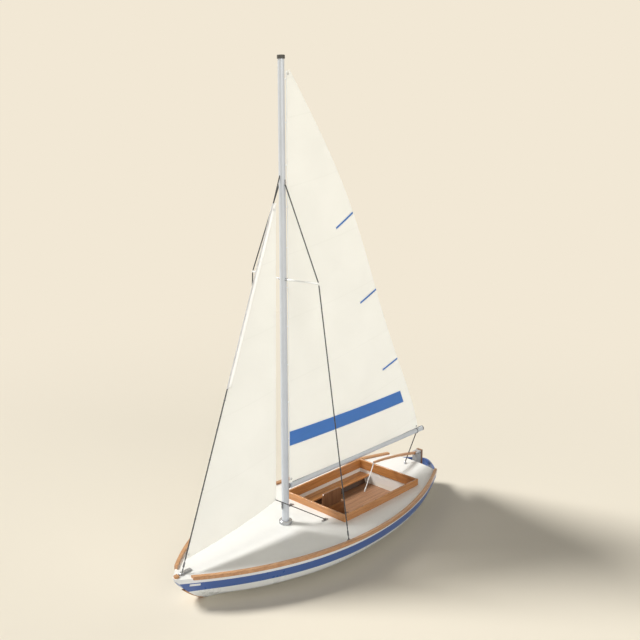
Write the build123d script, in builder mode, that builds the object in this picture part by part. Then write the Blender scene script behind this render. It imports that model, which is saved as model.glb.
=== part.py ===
from build123d import *
import os
from math import atan2, cos, degrees, radians, sin, sqrt, tan

# Open daysailer with a decked hull, a framed cockpit, a mast with two sails, a boom and a rudder.
# Frame: +X to the bow, +Y to port, +Z up. The origin is on the waterline at mid-length.
# All sizes are in millimetres.

os.makedirs("parts", exist_ok=True)

# Gap of a running seat
seat_gap = 0.3

# Hull form
beam_half = 1118
beam_x = 100
bow_x = 2790
bow_half = 10
deck_aft_x = -2350
deck_aft_half = 517
stern_x = deck_aft_x - 440
stern_shoulder = (deck_aft_x - 260, deck_aft_half - 237)
stern_tip_radius = 170
run_out_x = deck_aft_x - 550
run_out_half = deck_aft_half - 187
stem_points = ((2777, 469), (2612, 238), (2277, 8))
forefoot = (1900, -190)

# Hull stations, from the stern to the bow
# columns: x, deck edge z, deck crown z, bilge inset from the deck edge, bilge z, keel z,
#          keel half width, bilge radius
stations = (
    (run_out_x, 525, 575, 60, 330, 270, 20, 90),
    (deck_aft_x, 516, 560, 22, 290, 165, 20, 110),
    (-1700, 488, 515, 22, 240, 65, 20, 190),
    (-900, 478, 488, 42, 190, -35, 20, 220),
    (-100, 483, 494, 62, 180, -100, 20, 240),
    (700, 491, 502, 88, 160, -130, 20, 230),
    (1500, 492, 503, 160, 130, -110, 20, 190),
    (2100, 481, 490, 190, 132, -60, 20, 110),
    (2500, 466, 474, 125, 215, 45, 18, 55),
    (bow_x, 455, 459, 2, 300, 170, 6, 8),
)

# Painted strake below the rails, in side view
# columns: x, top z, bottom z
stripe_line = (
    (-3000, 471, 333),
    (-1700, 414, 290),
    (700, 424, 286),
    (3000, 375, 220),
)
strake_width = 120
stern_wall_thick = 30

# Rails and keel plank
rail_width = 48
rail_outside = 18
rail_proud = 38
rail_height = 53
rail_fore_x = 2600
# side view of the deck's edge: a point on the after arc, one on the fore arc and the end's height
rail_aft_point = (-1300, 480)
rail_fore_point = (1200, 495)
rail_end_z = 463
plank_width = 50
plank_proud = 30
plank_top_z = 235
plank_aft_x = -1700
stem_cap_length = 62
stem_cap_width = 58
stem_cap_height = 26
stem_cap_setback = 14
stem_cap_corner = 18
stem_cap_skirt = 8

# Cockpit
well_fore_x = 81
well_aft_x = -1712
well_half = 620
coaming_thick = 30
coaming_top = 605
coaming_foot = 450
ledge = 20
seat_top = 380
seat_thick = 25
seat_inner = 385
seat_edge_round = 6
sole_top = 220
sole_thick = 20
sole_half = 455
locker_half = 505

# Daggerboard and its trunk
board_fore_x = -100
board_length = 420
board_thick = 24
board_top = 680
board_bottom = -122
board_corner = 45
board_gap = 8
trunk_fore_x = 0
trunk_aft_x = -570
trunk_half = 45
trunk_top = 440

# Mast and standing rigging
mast_x = 700
mast_foot = 512
mast_top = 7154
mast_radius = 55
mast_top_radius = 44
cap_height = 50
cap_lip = 9
cap_bevel = 7
collar_radius = 95
collar_top = 560
collar_bevel = 9
fit_gap = 0.3
wire_radius = 5
stay_foot = (2634, 494)
stay_head_z = 5580
shroud_foot_x = 476
shroud_foot_inset = 53
shroud_foot_z = 520
spreader_tip = (673, 649, 4200)
spreader_root_z = 4180
spreader_radius = 12
shroud_head_z = 5500

# Boom and gooseneck
boom_z = 1070
boom_radius = 42
boom_cap = 12
pivot_x = mast_x - 85
boom_fore_x = pivot_x - 24
boom_length = 3199
boom_aft_x = boom_fore_x - boom_length
pin_radius = 6
pin_gap = 0.3
tang_wall = 6
tang_height = 40
lug_thick = 6
lug_gap = 4
lug_half = 16

# Sails
sail_thick = 8
luff_x = pivot_x - 11
# columns: height z, distance of the leech behind the luff, belly as a share of that distance
main_levels = (
    (1105, 3105, 0.003),
    (2485, 2498, 0.022),
    (3727, 1920, 0.030),
    (4975, 1360, 0.030),
    (5950, 790, 0.024),
    (6963, 70, 0.010),
)
band_low = 1690
band_high = 1910
band_aft_x = -2000
# columns: inner end x, inner end z, leech end x, leech end z
battens = (
    (-340, 4781, -790, 4991),
    (-891, 3583, -1345, 3737),
    (-1473, 2384, -1925, 2494),
)
batten_width = 28
jib_thick = 6
jib_tack_z = 660
jib_clew = (891, 935)
jib_head_z = 5215
jib_head_width = 60
jib_camber = 0.030

# Steering
rudder_x = deck_aft_x - 140
stock_radius = 18
stock_gap = 2
head_length = 120
head_width = 104
head_top = 682
rudder_board_length = 42
rudder_board_bottom = 368
rudder_board_top = 692
gland_radius = 45
gland_top = 362
head_bottom = gland_top + seat_gap
blade_fore_x = rudder_x + 65
blade_aft_x = rudder_x - 210
blade_top = 140
blade_bottom = -350
blade_thick = 30
tiller_fore = (rudder_x + 1164, 843)
tiller_aft_z = 672
tiller_deep = (46, 26)
tiller_rise = 26
tiller_thick = 34
extension_foot = (tiller_fore[0] + 222, 388)
extension_radius = 8

# Deck fittings
bow_fitting_x = 2480
bow_fitting_length = 200
bow_fitting_width = 44
bow_fitting_top = 502
bow_fitting_round = 18
bow_eye_radius = 7
bow_eye_x = 2655
chainplate_length = 60
chainplate_thick = 8
chainplate_top = 530
fairlead_x = 235
fairlead_y = 360
fairlead_length = 130
fairlead_width = 40
fairlead_foot_top = 505
fairlead_eye_radius = 15
fairlead_eye_z = 512
fairlead_eye_thick = 12
fairlead_hole = 6
sheet_eye_x = deck_aft_x + 179
sheet_eye_radius = 15
sheet_eye_hole = 8
sheet_eye_thick = 8
sheet_eye_foot = (56, 26)
sheet_eye_foot_top = 564
cleat_z = 800
cleat_length = 120


def arc_radius(reach, drop):
    """Radius of an arc that starts level and falls by drop over reach."""
    return (reach**2 + drop**2) / (2 * drop)


bow_arc_radius = arc_radius(bow_x - beam_x, beam_half - bow_half)
stern_arc_radius = arc_radius(beam_x - deck_aft_x, beam_half - deck_aft_half)


def half_beam(x, grow=0):
    """Half width of the deck outline at x, on two arcs that meet at the widest station."""
    radius = bow_arc_radius if x > beam_x else stern_arc_radius
    return beam_half - radius + sqrt((radius + grow) ** 2 - (x - beam_x) ** 2)


def mast_r(z):
    """Radius of the tapered mast at height z."""
    share = (z - mast_foot) / (mast_top - mast_foot)
    return mast_radius + (mast_top_radius - mast_radius) * share


def stay_x(z):
    """The forestay's x at height z, on its straight line to the mast."""
    head_x = mast_x + mast_r(stay_head_z)
    share = (z - stay_foot[1]) / (stay_head_z - stay_foot[1])
    return stay_foot[0] + (head_x - stay_foot[0]) * share


def rod(start, end, radius):
    """A straight round rod between two points."""
    path = Vector(*end) - Vector(*start)
    with BuildPart(Plane(origin=start, z_dir=path)) as piece:
        Cylinder(radius, path.length, align=(Align.CENTER, Align.CENTER, Align.MIN))
    return piece.part


span = beam_half + 100
stern_start = (deck_aft_x + 60, half_beam(deck_aft_x + 60) + 20)

# Whole outside form of the hull: a loft through the stations, trimmed to the stem and the stern
with BuildPart() as hull_form:
    for x, edge_z, crown_z, inset, bilge_z, keel_z, keel_half, bilge_radius in stations:
        half = half_beam(x) if x >= deck_aft_x else run_out_half
        with BuildSketch(Plane.YZ.offset(x)):
            with BuildLine():
                FilletPolyline(
                    (half, edge_z), (half - inset, bilge_z), (keel_half, keel_z), radius=bilge_radius
                )
                mirror(about=Plane.YZ)
                ThreePointArc((half, edge_z), (0, crown_z), (-half, edge_z))
                Line((keel_half, keel_z), (-keel_half, keel_z))
            make_face()
    loft()
    # Side view of the stem and forefoot
    with BuildSketch(Plane.XZ.offset(-span)):
        with BuildLine():
            Polyline(
                stem_points[2], forefoot, (forefoot[0], -400), (-3000, -400),
                (-3000, 800), (2850, 800), stem_points[0],
            )
            ThreePointArc(*stem_points)
        make_face()
    extrude(amount=2 * span, mode=Mode.INTERSECT)
    # Plan view of the rounded stern
    with BuildSketch(Plane.XY.offset(-500)) as stern_plan:
        with BuildLine():
            ThreePointArc(stern_start, stern_shoulder, (stern_x, 0))
            mirror(about=Plane.XZ)
            Line(stern_start, (stern_start[0], -stern_start[1]))
        make_face()
        fillet(stern_plan.vertices().sort_by(Axis.X)[0], radius=stern_tip_radius)
        with Locations((stern_start[0], 0)):
            Rectangle(5300, 2 * span, align=(Align.MIN, Align.CENTER))
    extrude(amount=1500, mode=Mode.INTERSECT)

# Cockpit hollow: a recess for the coaming boards, the seats' shelf and the wider space below it
with BuildPart() as cockpit_void:
    with BuildSketch(Plane.YZ.offset(well_aft_x + ledge)):
        with BuildLine():
            Polyline(
                (0, 900), (well_half - ledge, 900), (well_half - ledge, seat_top - seat_thick),
                (locker_half, seat_top - seat_thick), (sole_half, sole_top - sole_thick),
                (0, sole_top - sole_thick),
            )
            mirror(about=Plane.YZ)
        make_face()
    extrude(amount=well_fore_x - well_aft_x - 2 * ledge)
    with Locations(((well_fore_x + well_aft_x) / 2, 0, coaming_foot)):
        Box(
            well_fore_x - well_aft_x, 2 * well_half, 500,
            align=(Align.CENTER, Align.CENTER, Align.MIN),
        )

slot_fore_x = board_fore_x + board_gap
slot_length = board_length + 2 * board_gap
slot_thick = board_thick + 12

# Slot for the daggerboard, through the trunk and the bottom
with BuildPart() as board_slot:
    with Locations((slot_fore_x - slot_length / 2, 0, 0)):
        Box(slot_length, slot_thick, 1200)

stripe_upper = [(x, top) for x, top, bottom in stripe_line]
stripe_lower = [(x, bottom) for x, top, bottom in stripe_line]

# Everything below the painted strake
with BuildPart() as lower_zone:
    with BuildSketch(Plane.XZ):
        Polygon(
            *stripe_lower, (stripe_lower[-1][0], -500), (stripe_lower[0][0], -500), align=None
        )
    extrude(amount=span, both=True)

# Lower hull, below the painted strake
with BuildPart() as hull_lower:
    add(hull_form.part)
    add(lower_zone.part, mode=Mode.INTERSECT)
    add(cockpit_void.part, mode=Mode.SUBTRACT)
    add(board_slot.part, mode=Mode.SUBTRACT)
    with Locations((rudder_x, 0, 0)):
        Cylinder(stock_radius + stock_gap, 1200, mode=Mode.SUBTRACT)
hull_lower.part.label = "hull_lower"
export_step(hull_lower.part, "parts/hull_lower.step")

# Inner part of the hull, which the painted strake goes round
core_nose_x = beam_x + sqrt(
    (bow_arc_radius - strake_width) ** 2 - (bow_arc_radius - beam_half) ** 2
)
with BuildPart() as hull_core:
    with BuildSketch():
        with BuildLine():
            ThreePointArc(
                (deck_aft_x, half_beam(deck_aft_x, -strake_width)),
                (rail_aft_point[0], half_beam(rail_aft_point[0], -strake_width)),
                (beam_x, beam_half - strake_width),
            )
            ThreePointArc(
                (beam_x, beam_half - strake_width),
                (rail_fore_point[0], half_beam(rail_fore_point[0], -strake_width)),
                (core_nose_x, 0),
            )
            mirror(about=Plane.XZ)
            Line(
                (deck_aft_x, half_beam(deck_aft_x, -strake_width)),
                (deck_aft_x, -half_beam(deck_aft_x, -strake_width)),
            )
        make_face()
    extrude(amount=1000)

# Painted strake along both sides, which meets at the bow
with BuildPart() as hull_stripe:
    with BuildSketch(Plane.XZ):
        Polygon(*stripe_lower, *reversed(stripe_upper), align=None)
    extrude(amount=span, both=True)
    add(hull_form.part, mode=Mode.INTERSECT)
    add(hull_core.part, mode=Mode.SUBTRACT)
    with Locations((deck_aft_x, 0, 0)):
        Box(
            1000, 2 * span, 2000, align=(Align.MAX, Align.CENTER, Align.CENTER),
            mode=Mode.SUBTRACT,
        )
hull_stripe.part.label = "hull_stripe"
export_step(hull_stripe.part, "parts/hull_stripe.step")

# Open well behind the deck, inside the stern wall
with BuildPart() as stern_well:
    with BuildSketch():
        add(stern_plan.sketch_local)
        offset(amount=-stern_wall_thick)
        with Locations((deck_aft_x + 100, 0)):
            Rectangle(
                1000, half_beam(deck_aft_x) - stations[1][3] - stern_wall_thick,
                align=(Align.MAX, Align.MIN), mode=Mode.INTERSECT,
            )
    extrude(amount=1000)
    mirror(about=Plane.XZ)

# The strake goes on round the stern as a low wall behind the deck
with BuildPart() as stern_wall:
    with BuildSketch(Plane.XZ):
        Polygon(*stripe_lower, *reversed(stripe_upper), align=None)
    extrude(amount=span, both=True)
    add(hull_form.part, mode=Mode.INTERSECT)
    with Locations((deck_aft_x, 0, 0)):
        Box(
            6000, 2 * span, 2000, align=(Align.MIN, Align.CENTER, Align.CENTER),
            mode=Mode.SUBTRACT,
        )
    add(stern_well.part, mode=Mode.SUBTRACT)
stern_wall.part.label = "stern_wall"
export_step(stern_wall.part, "parts/stern_wall.step")

# Deck and upper strake, one moulding with the walls of the cockpit
with BuildPart() as hull_deck:
    add(hull_form.part)
    add(lower_zone.part, mode=Mode.SUBTRACT)
    add(hull_stripe.part, mode=Mode.SUBTRACT)
    add(cockpit_void.part, mode=Mode.SUBTRACT)
    with Locations((deck_aft_x, 0, 0)):
        Box(
            1000, 2 * span, 2000, align=(Align.MAX, Align.CENTER, Align.CENTER),
            mode=Mode.SUBTRACT,
        )
hull_deck.part.label = "hull_deck"
export_step(hull_deck.part, "parts/hull_deck.step")

# Keel plank along the bottom and up the stem
with BuildPart() as keel_plank:
    keel_line = [
        (station[0], station[5] - plank_proud)
        for station in stations
        if plank_aft_x <= station[0] < stem_points[2][0]
    ]
    with BuildSketch(Plane.XZ):
        with BuildLine():
            Polyline(
                (stem_points[2][0] + 12, stem_points[2][1] - plank_proud), *reversed(keel_line),
                (plank_aft_x, plank_top_z), (stem_points[1][0] + 26, plank_top_z),
            )
            ThreePointArc(
                (stem_points[1][0] + 26, plank_top_z),
                (2478, 98),
                (stem_points[2][0] + 12, stem_points[2][1] - plank_proud),
            )
        make_face()
    extrude(amount=plank_width / 2, both=True)
    add(hull_form.part, mode=Mode.SUBTRACT)
    add(board_slot.part, mode=Mode.SUBTRACT)
keel_plank.part.label = "keel_plank"
export_step(keel_plank.part, "parts/keel_plank.step")

# Stem cap, a wooden block over the point of the bow
with BuildPart() as stem_cap:
    with BuildSketch():
        with Locations((stem_points[0][0] - stem_cap_setback, 0)):
            Rectangle(stem_cap_length, stem_cap_width, align=(Align.MAX, Align.CENTER))
    extrude(amount=stations[-2][1] + stem_cap_height)
    fillet(stem_cap.edges().filter_by(Axis.Z).group_by(Axis.X)[-1], radius=stem_cap_corner)
    with Locations((0, 0, 0)):
        Box(6000, 200, 2 * (stations[-1][1] - stem_cap_skirt), mode=Mode.SUBTRACT)
    add(hull_form.part, mode=Mode.SUBTRACT)
stem_cap.part.label = "stem_cap"
export_step(stem_cap.part, "parts/stem_cap.step")

# Wooden rails on the deck's edge
edge_of = {station[0]: station[1] for station in stations}
rail_inside = rail_width - rail_outside


def rail_curve(lift):
    """Side view of the deck edge raised by lift, as two arcs."""
    ThreePointArc(
        (deck_aft_x, edge_of[deck_aft_x] + lift), (rail_aft_point[0], rail_aft_point[1] + lift),
        (-100, edge_of[-100] + lift),
    )
    ThreePointArc(
        (-100, edge_of[-100] + lift), (rail_fore_point[0], rail_fore_point[1] + lift),
        (rail_fore_x, rail_end_z + lift),
    )


with BuildPart() as rail_port:
    with BuildSketch():
        with BuildLine():
            for grow in (rail_outside, -rail_inside):
                ThreePointArc(
                    (deck_aft_x, half_beam(deck_aft_x, grow)),
                    (rail_aft_point[0], half_beam(rail_aft_point[0], grow)),
                    (beam_x, beam_half + grow),
                )
                ThreePointArc(
                    (beam_x, beam_half + grow),
                    (rail_fore_point[0], half_beam(rail_fore_point[0], grow)),
                    (rail_fore_x, half_beam(rail_fore_x, grow)),
                )
            for x in (deck_aft_x, rail_fore_x):
                Line((x, half_beam(x, rail_outside)), (x, half_beam(x, -rail_inside)))
        make_face()
    extrude(amount=900)
    with BuildSketch(Plane.XZ.offset(-span)):
        with BuildLine():
            rail_curve(rail_proud)
            rail_curve(rail_proud - rail_height)
            for x, z in ((deck_aft_x, edge_of[deck_aft_x]), (rail_fore_x, rail_end_z)):
                Line((x, z + rail_proud), (x, z + rail_proud - rail_height))
        make_face()
    extrude(amount=2 * span, mode=Mode.INTERSECT)
    add(hull_form.part, mode=Mode.SUBTRACT)
rail_port.part.label = "rail_port"
export_step(rail_port.part, "parts/rail_port.step")

with BuildPart() as rail_starboard:
    add(mirror(rail_port.part, about=Plane.XZ))
rail_starboard.part.label = "rail_starboard"
export_step(rail_starboard.part, "parts/rail_starboard.step")

# Coaming: two side boards with two end boards between them
well_mid_x = (well_fore_x + well_aft_x) / 2
with BuildPart() as coaming_port:
    with Locations((well_mid_x, well_half, coaming_foot)):
        Box(
            well_fore_x - well_aft_x, coaming_thick, coaming_top - coaming_foot,
            align=(Align.CENTER, Align.MAX, Align.MIN),
        )
    fillet(coaming_port.edges().filter_by(Axis.X).group_by(Axis.Z)[-1], radius=6)
coaming_port.part.label = "coaming_port"
export_step(coaming_port.part, "parts/coaming_port.step")

with BuildPart() as coaming_starboard:
    add(mirror(coaming_port.part, about=Plane.XZ))
coaming_starboard.part.label = "coaming_starboard"
export_step(coaming_starboard.part, "parts/coaming_starboard.step")

with BuildPart() as coaming_fore:
    with Locations((well_fore_x, 0, coaming_foot)):
        Box(
            coaming_thick, 2 * (well_half - coaming_thick), coaming_top - coaming_foot,
            align=(Align.MAX, Align.CENTER, Align.MIN),
        )
    fillet(coaming_fore.edges().filter_by(Axis.Y).group_by(Axis.Z)[-1], radius=6)
coaming_fore.part.label = "coaming_fore"
export_step(coaming_fore.part, "parts/coaming_fore.step")

with BuildPart() as coaming_aft:
    add(coaming_fore.part.moved(Location((well_aft_x - well_fore_x + coaming_thick, 0, 0))))
coaming_aft.part.label = "coaming_aft"
export_step(coaming_aft.part, "parts/coaming_aft.step")

# Benches: planks on the shelf of the cockpit's sides
bench_start = well_aft_x + ledge
bench_length = well_fore_x - well_aft_x - 2 * ledge
with BuildPart() as bench_port:
    with Locations((bench_start, seat_inner, seat_top)):
        Box(
            bench_length, well_half - ledge - seat_inner, seat_thick,
            align=(Align.MIN, Align.MIN, Align.MAX),
        )
    fillet(bench_port.edges().filter_by(Axis.X).group_by(Axis.Y)[0], radius=seat_edge_round)
bench_port.part.label = "bench_port"
export_step(bench_port.part, "parts/bench_port.step")

with BuildPart() as bench_starboard:
    add(mirror(bench_port.part, about=Plane.XZ))
bench_starboard.part.label = "bench_starboard"
export_step(bench_starboard.part, "parts/bench_starboard.step")

# Cockpit sole between the benches
with BuildPart() as cockpit_sole:
    with Locations((well_mid_x, 0, sole_top)):
        Box(
            bench_length, 2 * sole_half, sole_thick, align=(Align.CENTER, Align.CENTER, Align.MAX)
        )
    add(board_slot.part, mode=Mode.SUBTRACT)
cockpit_sole.part.label = "cockpit_sole"
export_step(cockpit_sole.part, "parts/cockpit_sole.step")

# Trunk that holds the daggerboard above the sole
with BuildPart() as board_trunk:
    with Locations((trunk_fore_x, 0, sole_top)):
        Box(
            trunk_fore_x - trunk_aft_x, 2 * trunk_half, trunk_top - sole_top,
            align=(Align.MAX, Align.CENTER, Align.MIN),
        )
    fillet(board_trunk.edges().filter_by(Axis.Z), radius=10)
    with Locations((slot_fore_x - slot_length / 2, 0, 0)):
        Box(slot_length, board_thick + 2 * seat_gap, 1200, mode=Mode.SUBTRACT)
board_trunk.part.label = "board_trunk"
export_step(board_trunk.part, "parts/board_trunk.step")

# Daggerboard, raised, with rounded corners
with BuildPart() as daggerboard:
    with BuildSketch(Plane.XZ):
        with Locations((board_fore_x, board_bottom)):
            Rectangle(board_length, board_top - board_bottom, align=(Align.MAX, Align.MIN))
    extrude(amount=board_thick / 2, both=True)
    fillet(daggerboard.edges().filter_by(Axis.Y), radius=board_corner)
daggerboard.part.label = "daggerboard"
export_step(daggerboard.part, "parts/daggerboard.step")

# Mast with its deck collar and head cap
with BuildPart() as mast_collar:
    with Locations((mast_x, 0, collar_top)):
        Cylinder(collar_radius, 160, align=(Align.CENTER, Align.CENTER, Align.MAX))
    chamfer(mast_collar.edges().group_by(Axis.Z)[-1], length=collar_bevel)
    with Locations((mast_x, 0, mast_foot)):
        Cylinder(
            mast_radius + fit_gap, 200, align=(Align.CENTER, Align.CENTER, Align.MIN),
            mode=Mode.SUBTRACT,
        )
    add(hull_form.part, mode=Mode.SUBTRACT)
mast_collar.part.label = "mast_collar"
export_step(mast_collar.part, "parts/mast_collar.step")

with BuildPart() as mast:
    with Locations((mast_x, 0, mast_foot)):
        Cone(
            mast_radius, mast_r(mast_top - cap_height), mast_top - cap_height - mast_foot,
            align=(Align.CENTER, Align.CENTER, Align.MIN),
        )
mast.part.label = "mast"
export_step(mast.part, "parts/mast.step")

with BuildPart() as mast_cap:
    with Locations((mast_x, 0, mast_top - cap_height)):
        Cylinder(
            mast_top_radius + cap_lip, cap_height, align=(Align.CENTER, Align.CENTER, Align.MIN)
        )
    chamfer(mast_cap.edges().group_by(Axis.Z)[-1], length=cap_bevel)
mast_cap.part.label = "mast_cap"
export_step(mast_cap.part, "parts/mast_cap.step")

with BuildPart() as mast_cleat:
    with Locations((mast_x + mast_r(cleat_z) + 14, 0, cleat_z)):
        Box(10, 16, cleat_length)
    with Locations((mast_x + mast_r(cleat_z) + 5, 0, cleat_z)):
        Box(22, 14, 36)
    add(mast.part, mode=Mode.SUBTRACT)
mast_cleat.part.label = "mast_cleat"
export_step(mast_cleat.part, "parts/mast_cleat.step")

# Shrouds, in two straight lengths each, over the spreaders' tips
shroud_foot = (
    shroud_foot_x, half_beam(shroud_foot_x) - shroud_foot_inset, shroud_foot_z
)
shroud_head = (mast_x, mast_r(shroud_head_z) - 4, shroud_head_z)
with BuildPart() as shroud_port:
    add(rod(shroud_foot, spreader_tip, wire_radius))
    add(rod(spreader_tip, shroud_head, wire_radius))
    with Locations(spreader_tip):
        Sphere(wire_radius)
    add(mast.part, mode=Mode.SUBTRACT)
shroud_port.part.label = "shroud_port"
export_step(shroud_port.part, "parts/shroud_port.step")

with BuildPart() as shroud_starboard:
    add(mirror(shroud_port.part, about=Plane.XZ))
shroud_starboard.part.label = "shroud_starboard"
export_step(shroud_starboard.part, "parts/shroud_starboard.step")

with BuildPart() as spreader_port:
    add(rod((mast_x, mast_r(spreader_root_z) - 4, spreader_root_z), spreader_tip, spreader_radius))
    with Locations(spreader_tip):
        Sphere(spreader_radius + 2)
    add(mast.part, mode=Mode.SUBTRACT)
    add(shroud_port.part, mode=Mode.SUBTRACT)
spreader_port.part.label = "spreader_port"
export_step(spreader_port.part, "parts/spreader_port.step")

with BuildPart() as spreader_starboard:
    add(mirror(spreader_port.part, about=Plane.XZ))
spreader_starboard.part.label = "spreader_starboard"
export_step(spreader_starboard.part, "parts/spreader_starboard.step")

# Bow fitting on the foredeck: the forestay's foot and a cross hole for a mooring pin
with BuildPart() as bow_fitting:
    with BuildSketch(Plane.XZ):
        with Locations((bow_fitting_x, bow_fitting_top)):
            Rectangle(bow_fitting_length, 90, align=(Align.MIN, Align.MAX))
    extrude(amount=bow_fitting_width / 2, both=True)
    fillet(
        bow_fitting.edges().filter_by(Axis.Y).group_by(Axis.Z)[-1], radius=bow_fitting_round
    )
    add(hull_form.part, mode=Mode.SUBTRACT)
    with BuildSketch(Plane.XZ):
        with Locations((bow_eye_x, bow_fitting_top - bow_fitting_round)):
            Circle(bow_eye_radius)
    extrude(amount=bow_fitting_width, both=True, mode=Mode.SUBTRACT)
bow_fitting.part.label = "bow_fitting"
export_step(bow_fitting.part, "parts/bow_fitting.step")

with BuildPart() as forestay:
    add(
        rod(
            (stay_x(bow_fitting_top - 60), 0, bow_fitting_top - 60),
            (stay_x(stay_head_z), 0, stay_head_z), wire_radius,
        )
    )
    add(mast.part, mode=Mode.SUBTRACT)
    add(bow_fitting.part, mode=Mode.SUBTRACT)
    add(hull_form.part, mode=Mode.SUBTRACT)
forestay.part.label = "forestay"
export_step(forestay.part, "parts/forestay.step")

# Chainplates on the side decks
with BuildPart() as chainplate_port:
    with Locations((shroud_foot[0], shroud_foot[1], chainplate_top)):
        Box(
            chainplate_length, chainplate_thick, 120, align=(Align.CENTER, Align.CENTER, Align.MAX)
        )
    add(hull_form.part, mode=Mode.SUBTRACT)
    add(shroud_port.part, mode=Mode.SUBTRACT)
chainplate_port.part.label = "chainplate_port"
export_step(chainplate_port.part, "parts/chainplate_port.step")

with BuildPart() as chainplate_starboard:
    add(mirror(chainplate_port.part, about=Plane.XZ))
chainplate_starboard.part.label = "chainplate_starboard"
export_step(chainplate_starboard.part, "parts/chainplate_starboard.step")

# Gooseneck: two lugs and a pin on the mast, and the tang on the boom that turns on the pin
lug_reach = tang_height / 2 + lug_gap + lug_thick
with BuildPart() as gooseneck_bracket:
    with BuildSketch(Plane.XY.offset(boom_z - lug_reach)):
        with Locations((pivot_x, 0)):
            Circle(lug_half)
            Rectangle(mast_x - pivot_x, 2 * lug_half, align=(Align.MIN, Align.CENTER))
    extrude(amount=2 * lug_reach)
    with Locations((mast_x - mast_r(boom_z) - 8, 0, boom_z)):
        Box(
            200, 60, tang_height + 2 * lug_gap, align=(Align.MAX, Align.CENTER, Align.CENTER),
            mode=Mode.SUBTRACT,
        )
    with Locations((pivot_x, 0, boom_z)):
        Cylinder(pin_radius, 2 * lug_reach)
    add(mast.part, mode=Mode.SUBTRACT)
gooseneck_bracket.part.label = "gooseneck_bracket"
export_step(gooseneck_bracket.part, "parts/gooseneck_bracket.step")

with BuildPart() as gooseneck_tang:
    with Locations((pivot_x, 0, boom_z)):
        Cylinder(pin_radius + tang_wall, tang_height)
    with Locations((pivot_x, 0, boom_z)):
        Box(
            pivot_x - boom_fore_x, 2 * (pin_radius + tang_wall), tang_height,
            align=(Align.MAX, Align.CENTER, Align.CENTER),
        )
    with Locations((pivot_x, 0, boom_z)):
        Cylinder(pin_radius + pin_gap, tang_height, mode=Mode.SUBTRACT)
gooseneck_tang.part.label = "gooseneck_tang"
export_step(gooseneck_tang.part, "parts/gooseneck_tang.step")

with BuildPart() as boom:
    with BuildSketch(Plane.YZ.offset(boom_aft_x)):
        with Locations((0, boom_z)):
            Circle(boom_radius)
    extrude(amount=boom_length)
boom.part.label = "boom"
export_step(boom.part, "parts/boom.step")

with BuildPart() as boom_end_cap:
    with BuildSketch(Plane.YZ.offset(boom_aft_x - boom_cap)):
        with Locations((0, boom_z)):
            Circle(boom_radius + 2)
    extrude(amount=boom_cap)
boom_end_cap.part.label = "boom_end_cap"
export_step(boom_end_cap.part, "parts/boom_end_cap.step")


def sail_section(z, luff, leech, camber, thick):
    """A cambered slice of cloth at height z, between the luff and the leech."""
    chord = luff - leech
    middle = (luff + leech) / 2
    with BuildSketch(Plane.XY.offset(z)) as section:
        with BuildLine():
            ThreePointArc(
                (luff, -thick / 2), (middle, camber * chord - thick / 2), (leech, -thick / 2)
            )
            Line((leech, -thick / 2), (leech, thick / 2))
            ThreePointArc((leech, thick / 2), (middle, camber * chord + thick / 2), (luff, thick / 2))
            Line((luff, thick / 2), (luff, -thick / 2))
        make_face()
    return section.sketch


# Mainsail cloth, with the coloured band and the batten pockets as pieces of their own
with BuildPart() as main_cloth:
    loft(
        sections=[
            sail_section(z, luff_x, luff_x - reach, belly, sail_thick)
            for z, reach, belly in main_levels
        ]
    )
    add(boom.part, mode=Mode.SUBTRACT)

with BuildPart() as band_zone:
    with Locations((luff_x + 100, 0, band_low)):
        Box(
            luff_x + 100 - band_aft_x, 900, band_high - band_low,
            align=(Align.MAX, Align.CENTER, Align.MIN),
        )

with BuildPart() as batten_zone:
    for inner_x, inner_z, outer_x, outer_z in battens:
        rise = degrees(atan2(outer_z - inner_z, inner_x - outer_x))
        with Locations(Location((inner_x, 0, inner_z), (0, rise, 0))):
            Box(700, 900, batten_width, align=(Align.MAX, Align.CENTER, Align.CENTER))

with BuildPart() as mainsail:
    add(main_cloth.part)
    add(band_zone.part, mode=Mode.SUBTRACT)
    add(batten_zone.part, mode=Mode.SUBTRACT)
mainsail.part.label = "mainsail"
export_step(mainsail.part, "parts/mainsail.step")

with BuildPart() as mainsail_band:
    add(main_cloth.part)
    add(band_zone.part, mode=Mode.INTERSECT)
mainsail_band.part.label = "mainsail_band"
export_step(mainsail_band.part, "parts/mainsail_band.step")

with BuildPart() as mainsail_battens:
    add(main_cloth.part)
    add(batten_zone.part, mode=Mode.INTERSECT)
mainsail_battens.part.label = "mainsail_battens"
export_step(mainsail_battens.part, "parts/mainsail_battens.step")

def jib_leech_x(z):
    """The jib's leech, a straight line from the clew to the head."""
    head_x = stay_x(jib_head_z) - jib_head_width
    share = (z - jib_clew[1]) / (jib_head_z - jib_clew[1])
    return jib_clew[0] + (head_x - jib_clew[0]) * share


# Jib, set on the forestay
with BuildPart() as jib:
    loft(
        sections=[
            sail_section(z, stay_x(z), jib_leech_x(z), jib_camber, jib_thick)
            for z in (jib_tack_z - 40, 2000, 3600, jib_head_z)
        ]
    )
    with BuildSketch(Plane.XZ):
        Polygon(
            (stay_x(jib_tack_z), jib_tack_z), jib_clew, (jib_clew[0] - 400, jib_clew[1]),
            (jib_clew[0] - 400, 100), (stay_x(100) + 400, 100), (stay_x(jib_tack_z) + 400, jib_tack_z),
            align=None,
        )
    extrude(amount=600, both=True, mode=Mode.SUBTRACT)
    add(forestay.part, mode=Mode.SUBTRACT)
jib.part.label = "jib"
export_step(jib.part, "parts/jib.step")

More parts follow.
